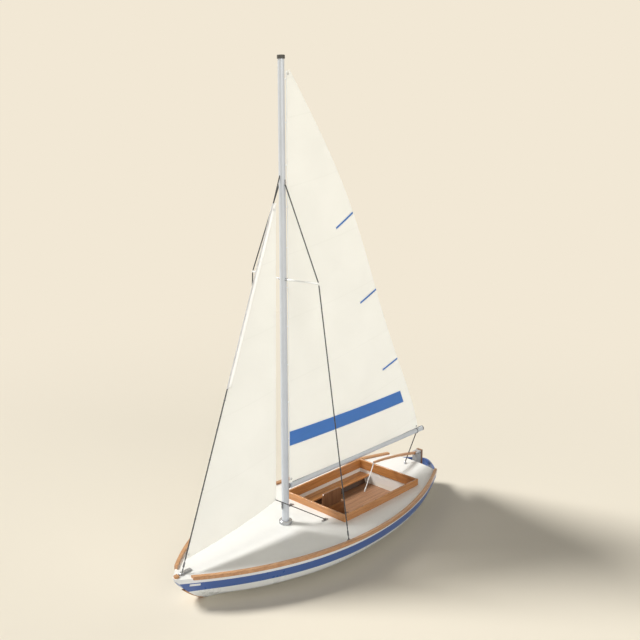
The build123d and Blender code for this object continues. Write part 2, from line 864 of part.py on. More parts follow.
# Deck fairleads for the jib's sheets: an eye on a long foot
with BuildPart() as jib_fairlead_port:
    with BuildSketch(Plane.XY.offset(fairlead_foot_top)):
        with Locations((fairlead_x, fairlead_y)):
            SlotOverall(fairlead_length, fairlead_width)
    extrude(amount=-60)
    with BuildSketch(Plane.XZ.offset(-fairlead_y - fairlead_eye_thick / 2)):
        with Locations((fairlead_x, fairlead_eye_z)):
            Circle(fairlead_eye_radius)
            Circle(fairlead_hole, mode=Mode.SUBTRACT)
    extrude(amount=fairlead_eye_thick)
    add(hull_form.part, mode=Mode.SUBTRACT)
jib_fairlead_port.part.label = "jib_fairlead_port"
export_step(jib_fairlead_port.part, "parts/jib_fairlead_port.step")

with BuildPart() as jib_fairlead_starboard:
    add(mirror(jib_fairlead_port.part, about=Plane.XZ))
jib_fairlead_starboard.part.label = "jib_fairlead_starboard"
export_step(jib_fairlead_starboard.part, "parts/jib_fairlead_starboard.step")

# Steering: stock through the stern, blade below, head, cheek board and tiller above
with BuildPart() as rudder_gland:
    with Locations((rudder_x, 0, gland_top)):
        Cylinder(gland_radius, 60, align=(Align.CENTER, Align.CENTER, Align.MAX))
    with Locations((rudder_x, 0, 0)):
        Cylinder(stock_radius + stock_gap, 1200, mode=Mode.SUBTRACT)
    add(hull_lower.part, mode=Mode.SUBTRACT)
rudder_gland.part.label = "rudder_gland"
export_step(rudder_gland.part, "parts/rudder_gland.step")

with BuildPart() as rudder_stock:
    with Locations((rudder_x, 0, blade_bottom + 120)):
        Cylinder(
            stock_radius, head_bottom - blade_bottom - 120,
            align=(Align.CENTER, Align.CENTER, Align.MIN),
        )
rudder_stock.part.label = "rudder_stock"
export_step(rudder_stock.part, "parts/rudder_stock.step")

with BuildPart() as rudder_head:
    with Locations((rudder_x, 0, head_bottom)):
        Box(
            head_length, head_width, head_top - head_bottom,
            align=(Align.CENTER, Align.CENTER, Align.MIN),
        )
    fillet(rudder_head.edges().filter_by(Axis.Z), radius=12)
    # Mouth for the tiller's heel
    with Locations((rudder_x, 0, tiller_aft_z - tiller_deep[0])):
        Box(
            head_length, tiller_thick, 200, align=(Align.MIN, Align.CENTER, Align.MIN),
            mode=Mode.SUBTRACT,
        )
rudder_head.part.label = "rudder_head"
export_step(rudder_head.part, "parts/rudder_head.step")

with BuildPart() as rudder_board:
    with Locations((rudder_x - head_length / 2, 0, rudder_board_bottom)):
        Box(
            rudder_board_length, head_width, rudder_board_top - rudder_board_bottom,
            align=(Align.MAX, Align.CENTER, Align.MIN),
        )
rudder_board.part.label = "rudder_board"
export_step(rudder_board.part, "parts/rudder_board.step")

with BuildPart() as rudder_blade:
    with BuildSketch(Plane.XY.offset(blade_bottom)):
        with BuildLine():
            mid_x = (blade_fore_x + blade_aft_x) / 2 + 30
            ThreePointArc((blade_fore_x, 0), (mid_x, blade_thick / 2 + 8), (blade_aft_x, 3))
            mirror(about=Plane.XZ)
            Line((blade_aft_x, 3), (blade_aft_x, -3))
        make_face()
    extrude(amount=blade_top - blade_bottom)
    add(rudder_stock.part, mode=Mode.SUBTRACT)
rudder_blade.part.label = "rudder_blade"
export_step(rudder_blade.part, "parts/rudder_blade.step")

with BuildPart() as tiller:
    middle_x = (rudder_x + tiller_fore[0]) / 2
    middle_z = (tiller_aft_z + tiller_fore[1]) / 2 + tiller_rise
    middle_deep = (tiller_deep[0] + tiller_deep[1]) / 2
    with BuildSketch(Plane.XZ):
        with BuildLine():
            ThreePointArc((rudder_x, tiller_aft_z), (middle_x, middle_z), tiller_fore)
            Line(tiller_fore, (tiller_fore[0], tiller_fore[1] - tiller_deep[1]))
            ThreePointArc(
                (tiller_fore[0], tiller_fore[1] - tiller_deep[1]), (middle_x, middle_z - middle_deep),
                (rudder_x, tiller_aft_z - tiller_deep[0]),
            )
            Line((rudder_x, tiller_aft_z - tiller_deep[0]), (rudder_x, tiller_aft_z))
        make_face()
    extrude(amount=tiller_thick / 2, both=True)
tiller.part.label = "tiller"
export_step(tiller.part, "parts/tiller.step")

# Tiller extension, hanging into the cockpit from the tiller's fore end
with BuildPart() as tiller_extension:
    add(
        rod(
            (tiller_fore[0] - 12, 0, tiller_fore[1] - 6), (extension_foot[0], 0, extension_foot[1]),
            extension_radius,
        )
    )
    add(tiller.part, mode=Mode.SUBTRACT)
tiller_extension.part.label = "tiller_extension"
export_step(tiller_extension.part, "parts/tiller_extension.step")

# Mainsheet eye on the aft deck
with BuildPart() as mainsheet_eye:
    with BuildSketch(Plane.XY.offset(sheet_eye_foot_top)):
        with Locations((sheet_eye_x, 0)):
            SlotOverall(*sheet_eye_foot)
    extrude(amount=-60)
    with BuildSketch(Plane.XZ.offset(-sheet_eye_thick / 2)):
        with Locations((sheet_eye_x, sheet_eye_foot_top + sheet_eye_hole)):
            Circle(sheet_eye_radius)
            Circle(sheet_eye_hole, mode=Mode.SUBTRACT)
    extrude(amount=sheet_eye_thick)
    add(hull_form.part, mode=Mode.SUBTRACT)
mainsheet_eye.part.label = "mainsheet_eye"
export_step(mainsheet_eye.part, "parts/mainsheet_eye.step")
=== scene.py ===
from math import radians
import bmesh
import bpy
import numpy as np
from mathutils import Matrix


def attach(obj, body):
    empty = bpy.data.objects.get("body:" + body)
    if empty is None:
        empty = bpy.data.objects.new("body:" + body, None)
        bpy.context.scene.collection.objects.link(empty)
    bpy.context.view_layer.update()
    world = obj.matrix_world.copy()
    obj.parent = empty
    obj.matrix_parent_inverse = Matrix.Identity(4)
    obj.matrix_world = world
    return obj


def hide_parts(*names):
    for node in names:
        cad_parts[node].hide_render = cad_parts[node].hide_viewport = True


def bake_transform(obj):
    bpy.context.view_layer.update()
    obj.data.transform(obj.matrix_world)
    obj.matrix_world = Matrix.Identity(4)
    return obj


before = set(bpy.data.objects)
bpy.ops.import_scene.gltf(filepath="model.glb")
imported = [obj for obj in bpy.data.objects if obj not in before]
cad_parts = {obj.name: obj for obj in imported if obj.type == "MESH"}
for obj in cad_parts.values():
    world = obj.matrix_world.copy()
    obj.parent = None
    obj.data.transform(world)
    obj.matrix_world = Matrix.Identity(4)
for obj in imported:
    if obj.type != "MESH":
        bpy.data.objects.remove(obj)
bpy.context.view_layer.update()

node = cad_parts

# The view of the photograph: from off the port bow and a little above, taken with
# a normal lens, so the deck, the cockpit and the port faces of both sails show.
camera_data = bpy.data.cameras.new("photo_camera")
camera_data.lens = 50.0
camera_data.sensor_width = 36.0
camera_data.clip_end = 500.0
camera = bpy.data.objects.new("photo_camera", camera_data)
camera.location = (9.137, 8.610, 6.613)
camera.rotation_euler = (radians(75.948), 0.0, radians(133.162))
bpy.context.scene.collection.objects.link(camera)
bpy.context.scene.camera = camera


# The studio: a cream floor at the waterline that fades into a cream backdrop,
# a broad key light from the starboard bow and a weaker, lower one on the port side.
def paint(red, green, blue):
    """Linear colour from screen values of 0 to 255, each share raised by the screen curve."""
    share = np.array((red, green, blue)) / 255.0
    linear = np.where(share > 0.04045, ((share + 0.055) / 1.055) ** 2.4, share / 12.92)
    return (*linear.tolist(), 1.0)


def put(tree, kind, feeds=None, **settings):
    """Add one shader node: settings go on the node, feeds gives each input a value or a link."""
    made = tree.nodes.new("ShaderNode" + kind)
    for key, value in settings.items():
        setattr(made, key, value)
    for key, value in (feeds or {}).items():
        if isinstance(value, bpy.types.NodeSocket):
            tree.links.new(value, made.inputs[key])
        else:
            made.inputs[key].default_value = value
    return made


def calc(tree, operation, *terms, **settings):
    """The result of one Math node on its terms, each of them a number or a link."""
    return put(tree, "Math", dict(enumerate(terms)), operation=operation, **settings).outputs[0]


def tint(tree, share, first, second):
    """The colour between two colours, at a share of 0 for the first and 1 for the second."""
    return put(tree, "Mix", {0: share, 6: first, 7: second}, data_type="RGBA").outputs[2]


def ramp(tree, value, low, high, to_low=0.0, to_high=1.0, **settings):
    """A value carried over from the range low to high to the range to_low to to_high, held at
    both ends."""
    feeds = {"Value": value, "From Min": low, "From Max": high, "To Min": to_low, "To Max": to_high}
    return put(tree, "MapRange", feeds, **settings).outputs["Result"]


cream = paint(242, 232, 213)
lamp_tint = (1.0, 0.998, 0.985)
bpy.context.scene.view_settings.view_transform = "Standard"
studio_world = bpy.data.worlds.new("studio_world")
bpy.context.scene.world = studio_world
studio_world.use_nodes = True
sky = studio_world.node_tree
sky.nodes.clear()
rays = put(sky, "LightPath").outputs
seen_or_glossy = calc(sky, "MAXIMUM", rays["Is Camera Ray"], rays["Is Glossy Ray"])
seen_at_all = calc(sky, "MAXIMUM", seen_or_glossy, rays["Is Transmission Ray"])
fill = put(sky, "Background", {"Color": (*lamp_tint, 1.0), "Strength": 0.21})
backdrop = put(sky, "Background", {"Color": cream, "Strength": 1.0})
pick = put(sky, "MixShader", {0: seen_at_all, 1: fill.outputs[0], 2: backdrop.outputs[0]})
put(sky, "OutputWorld", {"Surface": pick.outputs[0]})

for light_name, strength, spread, turn in (
    ("key_light", 3.4, 18.0, (43.0, 0.0, 34.0)),
    ("side_light", 1.40, 60.0, (77.0, 0.0, 160.0)),
):
    lamp = bpy.data.lights.new(light_name, "SUN")
    lamp.energy = strength
    lamp.angle = radians(spread)
    lamp.color = lamp_tint
    lamp_object = bpy.data.objects.new(light_name, lamp)
    lamp_object.rotation_euler = tuple(radians(part) for part in turn)
    bpy.context.scene.collection.objects.link(lamp_object)

floor_half, fade_near, fade_far = 120.0, 5.0, 15.0
floor_mesh = bpy.data.meshes.new("studio_floor")
floor_mesh.from_pydata(
    [(-floor_half, -floor_half, 0), (floor_half, -floor_half, 0),
     (floor_half, floor_half, 0), (-floor_half, floor_half, 0)], [], [(0, 1, 2, 3)])
floor = bpy.data.objects.new("studio_floor", floor_mesh)
bpy.context.scene.collection.objects.link(floor)
floor_material = bpy.data.materials.new("studio_floor")
floor_material.use_nodes = True
tree = floor_material.node_tree
tree.nodes.clear()
floor_spot = put(tree, "TexCoord").outputs["Object"]
away = put(tree, "VectorMath", {0: floor_spot}, operation="LENGTH").outputs["Value"]
fade = ramp(tree, away, fade_near, fade_far, interpolation_type="SMOOTHSTEP")
floor_seen = put(tree, "LightPath").outputs["Is Camera Ray"]
floor_colour = tint(tree, floor_seen, (0.66, 0.655, 0.645, 1.0), (0.772, 0.708, 0.590, 1.0))
lit = put(tree, "BsdfDiffuse", {"Color": floor_colour})
glow = put(tree, "Emission", {"Color": cream, "Strength": 1.0})
both = put(tree, "MixShader", {0: fade, 1: lit.outputs[0], 2: glow.outputs[0]})
put(tree, "OutputMaterial", {"Surface": both.outputs[0]})
floor_mesh.materials.append(floor_material)


# Lower hull: a round-bilged shell of moulded resin, gelcoated ivory white, with a
# faint orange peel and the pale streaks that water leaves below the strake.
def new_group(name, takes):
    """Start the node group of a finish: a Place and the named inputs (name, kind, value) go in,
    and a colour, a roughness and a height come out."""
    group = bpy.data.node_groups.new(name, "ShaderNodeTree")
    for title, kind, value in [("Place", "Vector", None)] + takes:
        socket = group.interface.new_socket(
            name=title, in_out="INPUT", socket_type="NodeSocket" + kind)
        if value is not None:
            socket.default_value = value
    for title, kind in (("Color", "Color"), ("Roughness", "Float"), ("Height", "Float")):
        group.interface.new_socket(
            name=title, in_out="OUTPUT", socket_type="NodeSocket" + kind)
    return group, group.nodes.new("NodeGroupInput").outputs


def give_out(group, colour, roughness, height):
    """Lead a finish's colour, roughness and height out of its node group."""
    ends = group.nodes.new("NodeGroupOutput").inputs
    for title, value in (("Color", colour), ("Roughness", roughness), ("Height", height)):
        group.links.new(value, ends[title])


def stretch(tree, place, factors):
    """A place multiplied along each axis: a small factor draws a texture out along that axis."""
    return put(tree, "VectorMath", {0: place, 1: factors}, operation="MULTIPLY").outputs[0]


def noise(tree, place, scale, detail, roughness=0.5, distortion=0.0):
    """A cloudy value between 0 and 1."""
    feeds = {"Vector": place, "Scale": scale, "Detail": detail, "Roughness": roughness,
             "Distortion": distortion}
    return put(tree, "TexNoise", feeds).outputs[0]


def finish(name, group, values, shader, relief=0.0006, turn=(0, 0, 0), uv=None, through=0.0):
    """One finish: coordinates, turned by a Mapping, feed the group, whose colour, roughness and
    height drive a Principled shader. relief is the depth in metres of a height of 1, and through
    is the share of light that passes the material as it does through cloth."""
    material = bpy.data.materials.new(name)
    material.use_nodes = True
    tree = material.node_tree
    tree.nodes.clear()
    if uv:
        source = put(tree, "UVMap", uv_map=uv).outputs["UV"]
    else:
        source = put(tree, "TexCoord").outputs["Object"]
    angles = tuple(radians(part) for part in turn)
    aimed = put(tree, "Mapping", {"Vector": source, "Rotation": angles}).outputs[0]
    effect = put(tree, "Group", {"Place": aimed, **values}, node_tree=group).outputs
    bump = put(tree, "Bump", {"Height": effect["Height"], "Strength": 1.0, "Distance": relief})
    surface = put(tree, "BsdfPrincipled", {
        "Base Color": effect["Color"], "Roughness": effect["Roughness"],
        "Normal": bump.outputs[0], **shader})
    result = surface.outputs[0]
    if through:
        back = put(tree, "BsdfTranslucent", {"Color": effect["Color"], "Normal": bump.outputs[0]})
        result = put(tree, "MixShader", {0: through, 1: result, 2: back.outputs[0]}).outputs[0]
    put(tree, "OutputMaterial", {"Surface": result})
    return material


def dress(names, material):
    """Give each named node of the boat this finish in place of its plain one."""
    for name in names:
        for place in range(len(node[name].data.materials)):
            node[name].data.materials[place] = material


gelcoat, take = new_group("gelcoat_finish", [
    ("Paint", "Color", None), ("Streaks", "Float", 0.04), ("Gloss", "Float", 0.22)])
clouds = noise(gelcoat, take["Place"], 1.7, 4.0, 0.55)
runs = noise(gelcoat, stretch(gelcoat, take["Place"], (9.0, 9.0, 0.9)), 1.3, 6.0, 0.65)
dulled = ramp(gelcoat, calc(gelcoat, "ADD", clouds, runs), 0.75, 1.35)
streaked = calc(gelcoat, "MULTIPLY", dulled, take["Streaks"])
orange_peel = noise(gelcoat, take["Place"], 160.0, 2.0)
give_out(gelcoat, tint(gelcoat, streaked, take["Paint"], paint(120, 108, 88)),
         calc(gelcoat, "MULTIPLY_ADD", dulled, 0.14, take["Gloss"]), orange_peel)

dress(["hull_lower"], finish(
    "ivory_gelcoat", gelcoat, {"Paint": paint(238, 237, 228), "Streaks": 0.05, "Gloss": 0.24},
    {"Coat Weight": 0.5, "Coat Roughness": 0.08}, relief=0.0001))

# Strake and stern wall: the blue band that runs round the topsides below the rail,
# sprayed on the same shell, with a bare white plate riveted on its port bow.
stripe_finish = finish(
    "blue_topside_paint", gelcoat, {"Paint": paint(66, 98, 160), "Streaks": 0.08, "Gloss": 0.26},
    {"Coat Weight": 0.4, "Coat Roughness": 0.12}, relief=0.0001)
dress(["hull_stripe", "stern_wall"], stripe_finish)


def add_mesh(name, points, faces, material, body, slot):
    """A smooth mesh object from point and face arrays, its faces turned outwards, riding on a
    body."""
    mesh = bpy.data.meshes.new(name)
    mesh.from_pydata(np.asarray(points).reshape(-1, 3).tolist(), [], faces)
    shell = bmesh.new()
    shell.from_mesh(mesh)
    bmesh.ops.remove_doubles(shell, verts=shell.verts, dist=1e-6)
    bmesh.ops.recalc_face_normals(shell, faces=shell.faces)
    shell.to_mesh(mesh)
    shell.free()
    mesh.polygons.foreach_set("use_smooth", [True] * len(mesh.polygons))
    mesh.materials.append(material)
    made = bpy.data.objects.new(name, mesh)
    bpy.context.scene.collection.objects.link(made)
    if body:
        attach(made, body)
    return made


def weave_faces(rows, columns, ring_rows=False, ring_columns=False, first=0):
    """Quads that join a grid of points numbered row by row, closed round where a ring is asked."""
    index = np.arange(rows * columns).reshape(rows, columns) + first
    if ring_rows:
        index = np.vstack([index, index[:1]])
    if ring_columns:
        index = np.hstack([index, index[:, :1]])
    quads = np.stack([index[:-1, :-1], index[1:, :-1], index[1:, 1:], index[:-1, 1:]], -1)
    return quads.reshape(-1, 4).tolist()


def slab(corners, thickness, across=9, along=9, crown=0.0):
    """A plate between four corners: each point weighs them by its shares u and v of the way
    across and along, and is raised by the crown times 4u(1 - u) and 4v(1 - v). A flat back face
    lies the thickness behind it, and quads close the edge."""
    a, b, c, d = (np.array(corner, float) for corner in corners)
    u, v = np.meshgrid(np.linspace(0, 1, across), np.linspace(0, 1, along), indexing="ij")
    u, v = u[..., None], v[..., None]
    out = np.cross(b - a, d - a)
    out /= np.linalg.norm(out)
    plane = (1 - u) * (1 - v) * a + u * (1 - v) * b + u * v * c + (1 - u) * v * d
    face = plane + out * crown * 16 * u * (1 - u) * v * (1 - v)
    count = across * along
    faces = weave_faces(across, along) + weave_faces(across, along, first=count)
    grid = np.arange(count).reshape(across, along)
    edge = np.concatenate([grid[:, 0], grid[-1, 1:], grid[-2::-1, -1], grid[0, -2:0:-1]])
    after = np.roll(edge, -1)
    faces += np.stack([edge, after, after + count, edge + count], -1).tolist()
    return np.concatenate([face.reshape(-1, 3), (plane - out * thickness).reshape(-1, 3)]), faces


plate_white = finish(
    "bare_plate", gelcoat, {"Paint": paint(236, 235, 228), "Streaks": 0.06, "Gloss": 0.3}, {},
    relief=0.0001)
plate_fore, plate_aft, plate_low, plate_high = 2.615, 2.500, 0.332, 0.366
plate_corners = [(plate_fore, 0.1260, plate_low), (plate_aft, 0.2100, plate_low),
                 (plate_aft, 0.2215, plate_high), (plate_fore, 0.1365, plate_high)]
add_mesh("bow_plate", *slab(plate_corners, 0.010, crown=0.003), plate_white, "hull",
         "white_plastic")

# Deck and cockpit liner: one white moulding, slightly crowned, with painted shade in dark
# brown wood grain on the liner under the benches, where it drops to the sole.
planked_wood, take = new_group("planked_wood", [
    ("Pale", "Color", None), ("Dark", "Color", None), ("Plank", "Float", 50.0),
    ("Seam", "Float", 0.0), ("Gloss", "Float", 0.25)])
sideways = put(planked_wood, "SeparateXYZ", {0: take["Place"]}).outputs[1]
count = calc(planked_wood, "DIVIDE", sideways, take["Plank"])
number = calc(planked_wood, "FLOOR", count)
off_middle = calc(planked_wood, "SUBTRACT", calc(planked_wood, "FRACT", count), 0.5)
half_less = calc(planked_wood, "SUBTRACT", 0.5, take["Seam"])
seam = calc(planked_wood, "GREATER_THAN", calc(planked_wood, "ABSOLUTE", off_middle), half_less)
plank_tone = put(planked_wood, "TexWhiteNoise", {"W": number}, noise_dimensions="1D").outputs[0]
shift = put(planked_wood, "CombineXYZ", {0: plank_tone, 2: plank_tone}).outputs[0]
moved = put(planked_wood, "VectorMath", {0: take["Place"], 1: shift}, operation="ADD").outputs[0]
rings = noise(planked_wood, stretch(planked_wood, moved, (0.7, 9.0, 9.0)), 3.2, 5.0, 0.6, 0.7)
pores = noise(planked_wood, stretch(planked_wood, moved, (3.0, 120.0, 120.0)), 2.0, 3.0)
grain = calc(planked_wood, "ADD", ramp(planked_wood, rings, 0.34, 0.68),
             ramp(planked_wood, pores, 0.52, 0.72, to_high=0.35), use_clamp=True)
timber = tint(planked_wood, grain, take["Pale"], take["Dark"])
tone = ramp(planked_wood, plank_tone, 0.0, 1.0, 0.90, 1.05)
toned = put(planked_wood, "VectorMath", {0: timber, "Scale": tone}, operation="SCALE").outputs[0]
raised = calc(planked_wood, "MULTIPLY_ADD", grain, -0.25, 1.0)
give_out(planked_wood, tint(planked_wood, seam, toned, paint(58, 40, 27)),
         calc(planked_wood, "MULTIPLY_ADD", grain, 0.16, take["Gloss"]),
         calc(planked_wood, "SUBTRACT", raised, seam))

deck_finish = finish(
    "white_deck", gelcoat, {"Paint": paint(238, 237, 232), "Streaks": 0.05, "Gloss": 0.34},
    {"Coat Weight": 0.25, "Coat Roughness": 0.15}, relief=0.0001)
# Bounds of the painted shade under the benches: its foot, its top and its reach sideways.
shade_foot, shade_top, shade_side = 0.190, 0.368, 0.6205
cockpit_middle, cockpit_reach = -0.8155, 0.860


def paint_bench_shade(material):
    """Paint shade under the benches: between its foot and top, inside the coamings and within
    reach of the cockpit's middle, the finish's own colour gives way to dark planked wood as shade."""
    tree = material.node_tree
    spot = put(tree, "TexCoord").outputs["Object"]
    ahead, aside, height = put(tree, "SeparateXYZ", {0: spot}).outputs
    from_middle = calc(tree, "ABSOLUTE", calc(tree, "SUBTRACT", ahead, cockpit_middle))
    under_bench_shade = calc(tree, "LESS_THAN", height, shade_top)
    for mask in (calc(tree, "GREATER_THAN", height, shade_foot),
                 calc(tree, "LESS_THAN", calc(tree, "ABSOLUTE", aside), shade_side),
                 calc(tree, "LESS_THAN", from_middle, cockpit_reach)):
        under_bench_shade = calc(tree, "MULTIPLY", under_bench_shade, mask)
    # Dark planked wood as the painted shade under the benches.
    shade_tones = {"Place": spot, "Pale": paint(92, 60, 37), "Dark": paint(62, 40, 25)}
    wood = put(tree, "Group", shade_tones, node_tree=planked_wood)
    shader = next(made for made in tree.nodes if made.type == "BSDF_PRINCIPLED")
    white = shader.inputs["Base Color"].links[0].from_socket
    shaded_colour = tint(tree, under_bench_shade, white, wood.outputs["Color"])
    tree.links.new(shaded_colour, shader.inputs["Base Color"])


# The deck liner and the hull's inner wall both take this painted shade.
paint_bench_shade(deck_finish)
paint_bench_shade(node["hull_lower"].data.materials[0])
dress(["hull_deck"], deck_finish)

# Rubbing rails, stem cap and keel plank: bent hardwood laths, varnished, screwed on
# outside the deck edge and along the centreline under the hull.
varnish = {"Coat Weight": 0.45, "Coat Roughness": 0.12}
rail_wood = finish(
    "varnished_rail", planked_wood,
    {"Pale": paint(208, 156, 106), "Dark": paint(180, 126, 80), "Gloss": 0.28}, varnish)
dress(["rail_port", "rail_starboard", "stem_cap", "keel_plank"], rail_wood)

# Coaming: four upright mahogany boards round the cockpit, varnished, held to the
# liner by screws that are hidden under round dark plugs in their top edges.
coaming_tones = {"Pale": paint(208, 147, 88), "Dark": paint(178, 118, 64), "Gloss": 0.26}
dress(["coaming_port", "coaming_starboard"], finish(
    "varnished_coaming", planked_wood, coaming_tones, varnish))
dress(["coaming_fore", "coaming_aft"], finish(
    "varnished_coaming_ends", planked_wood, coaming_tones, varnish, turn=(0, 0, 90)))


def gather(shapes):
    """Join (points, faces) pairs into one pair, with each face list renumbered after the last."""
    points, faces, first = [], [], 0
    for shape_points, shape_faces in shapes:
        points.append(np.asarray(shape_points))
        faces += [[corner + first for corner in face] for face in shape_faces]
        first += len(shape_points)
    return np.concatenate(points), faces


def turned(foot, direction, profile, sides):
    """A turned piece: the profile's (distance, radius) pairs carried round an axis from foot."""
    profile = np.asarray(profile, float)
    direction = np.asarray(direction, float) / np.linalg.norm(direction)
    path = np.asarray(foot, float) + profile[:, :1] * direction
    up = (0.0, 0.0, 1.0) if abs(direction[2]) < 0.9 else (1.0, 0.0, 0.0)
    side = np.cross(direction, up)
    side /= np.linalg.norm(side)
    top = np.cross(side, direction)
    angle = np.linspace(0, 2 * np.pi, sides, endpoint=False)
    around = np.cos(angle)[None, :, None] * side + np.sin(angle)[None, :, None] * top
    grid = path[:, None, :] + profile[:, 1][:, None, None] * around
    faces = weave_faces(len(path), sides, ring_columns=True)
    last = (len(path) - 1) * sides
    faces += [list(range(sides))[::-1], list(range(last, last + sides))]
    return grid.reshape(-1, 3), faces


plug_profile = [(-0.004, 0.0075), (0.001, 0.0075), (0.0018, 0.006), (0.0021, 0.002)]
plug_wood = finish(
    "dark_plug", planked_wood,
    {"Pale": paint(96, 58, 34), "Dark": paint(66, 40, 24), "Gloss": 0.35}, {})
coaming_top, coaming_side = 0.605, 0.605
plug_places = [(x, y, coaming_top)
               for x in np.linspace(-1.60, -0.02, 6) for y in (-coaming_side, coaming_side)]
plug_places += [(x, y, coaming_top) for x in (-1.697, 0.066) for y in np.linspace(-0.45, 0.45, 4)]
plugs = [turned(place, (0, 0, 1), plug_profile, 12) for place in plug_places]
add_mesh("coaming_plugs", *gather(plugs), plug_wood, "hull", "varnished_wood")

# Benches, sole and board trunk: narrow planks with dark seams, oiled and waxed,
# laid fore and aft. The dark daggerboard slides in the trunk between the benches.
bench_tones = {"Pale": paint(204, 146, 88), "Dark": paint(172, 116, 64), "Gloss": 0.34}
dress(["bench_port", "bench_starboard"], finish(
    "bench_planks", planked_wood, {**bench_tones, "Plank": 0.0717, "Seam": 0.018},
    {"Coat Weight": 0.2}, relief=0.002))
# The sole's tones are darker than the benches': partly its own greyer wood, partly painted shade of
# the footwell.
sole_shaded_tones = {"Pale": paint(170, 128, 96), "Dark": paint(146, 106, 76), "Gloss": 0.42}
dress(["cockpit_sole"], finish(
    "sole_planks", planked_wood, {**sole_shaded_tones, "Plank": 0.1138, "Seam": 0.016}, {},
    relief=0.002))
# The trunk's tones are the benches' wood darkened, as painted shade between the benches.
trunk_shaded_tones = {"Pale": paint(176, 122, 74), "Dark": paint(140, 92, 52), "Gloss": 0.32}
dress(["board_trunk"], finish("trunk_wood", planked_wood, trunk_shaded_tones, {"Coat Weight": 0.2}))
board_tones = {"Pale": paint(140, 100, 70), "Dark": paint(114, 78, 52), "Gloss": 0.3}
dress(["daggerboard"], finish(
    "dark_board_wood", planked_wood, board_tones, {"Coat Weight": 0.3}, turn=(0, 90, 0)))

# Mast: a tapered alloy tube, clear anodised, with a dark plastic cap, a bolted deck
# collar, a halyard cleat, tangs for the shrouds and a luff groove down its aft side.
drawn_metal, take = new_group("drawn_metal", [
    ("Metal", "Color", None), ("Tarnish", "Color", None), ("Spots", "Float", 0.3),
    ("Gloss", "Float", 0.3), ("Lines", "Float", 60.0), ("Lay", "Float", 0.0)])
drawn = stretch(drawn_metal, take["Place"], (1.0, 1.0, 0.03))
draw_lines = noise(drawn_metal, drawn, take["Lines"], 2.0)
patches = ramp(drawn_metal, noise(drawn_metal, take["Place"], 3.5, 6.0, 0.65), 0.48, 0.78)
amount = calc(drawn_metal, "MULTIPLY", patches, take["Spots"])
lay_slant, lay_rate = 1.4, 420.0
ahead, aside, height = put(drawn_metal, "SeparateXYZ", {0: take["Place"]}).outputs
askew = calc(drawn_metal, "MULTIPLY_ADD", ahead, lay_slant, height)
skewed = calc(drawn_metal, "MULTIPLY_ADD", aside, lay_slant, askew)
wire_turns = calc(drawn_metal, "SINE", calc(drawn_metal, "MULTIPLY", skewed, lay_rate))
give_out(drawn_metal, tint(drawn_metal, amount, take["Metal"], take["Tarnish"]),
         calc(drawn_metal, "MULTIPLY_ADD", amount, 0.35, take["Gloss"]),
         calc(drawn_metal, "MULTIPLY_ADD", wire_turns, take["Lay"], draw_lines))

alloy_tones = {"Metal": paint(212, 217, 224), "Tarnish": paint(176, 180, 186), "Spots": 0.25,
               "Gloss": 0.34}
dress(["mast"], finish(
    "anodised_mast", drawn_metal, alloy_tones, {"Metallic": 0.2}, relief=0.0002))
cap_plastic = finish(
    "dark_cap", gelcoat, {"Paint": paint(74, 74, 72), "Streaks": 0.25, "Gloss": 0.42}, {},
    relief=0.0002)
dress(["mast_cap", "boom_end_cap"], cap_plastic)
steel_tones = {"Metal": paint(176, 178, 182), "Tarnish": paint(116, 114, 110), "Spots": 0.35,
               "Gloss": 0.26}
fitting_steel = finish(
    "polished_steel", drawn_metal, steel_tones, {"Metallic": 0.75}, relief=0.0002)
dress(["mast_collar", "mast_cleat", "bow_fitting", "chainplate_port", "chainplate_starboard",
       "jib_fairlead_port", "jib_fairlead_starboard", "mainsheet_eye", "rudder_gland",
       "rudder_stock", "gooseneck_bracket", "gooseneck_tang"], fitting_steel)
mast_x, mast_foot_z, mast_top_z = 0.700, 0.512, 7.104


def mast_radius(z):
    """The mast's radius in metres, 55 mm at its foot and 44 mm at the cap, in a straight taper."""
    return 0.055 - 0.011 * (np.asarray(z, float) - mast_foot_z) / (mast_top_z - mast_foot_z)


def swept(path, radius, sides, up, ring=False, lay=0.0, strands=3):
    """A tube along a path: at each point a circle of that point's radius is drawn across the
    path. With a lay it is rope: the radius swells by a tenth of the cosine of strands times the
    angle round the tube, less one turn for each lay of distance along it."""
    path = np.asarray(path, float)
    if ring:
        tangent = np.roll(path, -1, axis=0) - np.roll(path, 1, axis=0)
    else:
        tangent = np.gradient(path, axis=0)
    tangent /= np.linalg.norm(tangent, axis=1, keepdims=True)
    side = np.cross(tangent, np.asarray(up, float))
    side /= np.linalg.norm(side, axis=1, keepdims=True)
    top = np.cross(side, tangent)
    angle = np.linspace(0, 2 * np.pi, sides, endpoint=False)
    size = np.broadcast_to(np.asarray(radius, float), (len(path),))[:, None, None]
    if lay:
        step = np.linalg.norm(np.diff(path, axis=0), axis=1)
        distance = np.concatenate([[0.0], np.cumsum(step)])[:, None]
        swell = np.cos(strands * angle[None, :] - 2 * np.pi * distance / lay)
        size = size * (1 + 0.10 * swell)[..., None]
    cosine, sine = np.cos(angle)[None, :, None], np.sin(angle)[None, :, None]
    grid = path[:, None, :] + size * (cosine * side[:, None, :] + sine * top[:, None, :])
    faces = weave_faces(len(path), sides, ring_rows=ring, ring_columns=True)
    if not ring:
        last = (len(path) - 1) * sides
        faces += [list(range(sides))[::-1], list(range(last, last + sides))]
    return grid.reshape(-1, 3), faces


groove_z = np.linspace(1.22, 7.06, 60)
groove_path = np.stack([mast_x - mast_radius(groove_z) + 0.004, 0 * groove_z, groove_z], -1)
# The luff groove is a thin tube of dark grey metal: its darkness is painted shade of the recess.
groove_shade_metal = finish(
    "groove_shade", drawn_metal,
    {"Metal": paint(96, 98, 100), "Tarnish": paint(60, 61, 62), "Spots": 0.5, "Gloss": 0.5},
    {"Metallic": 0.3})
add_mesh("mast_luff_groove", *swept(groove_path, 0.0065, 10, (0, 1, 0)), groove_shade_metal,
         "hull", "spar_alloy")

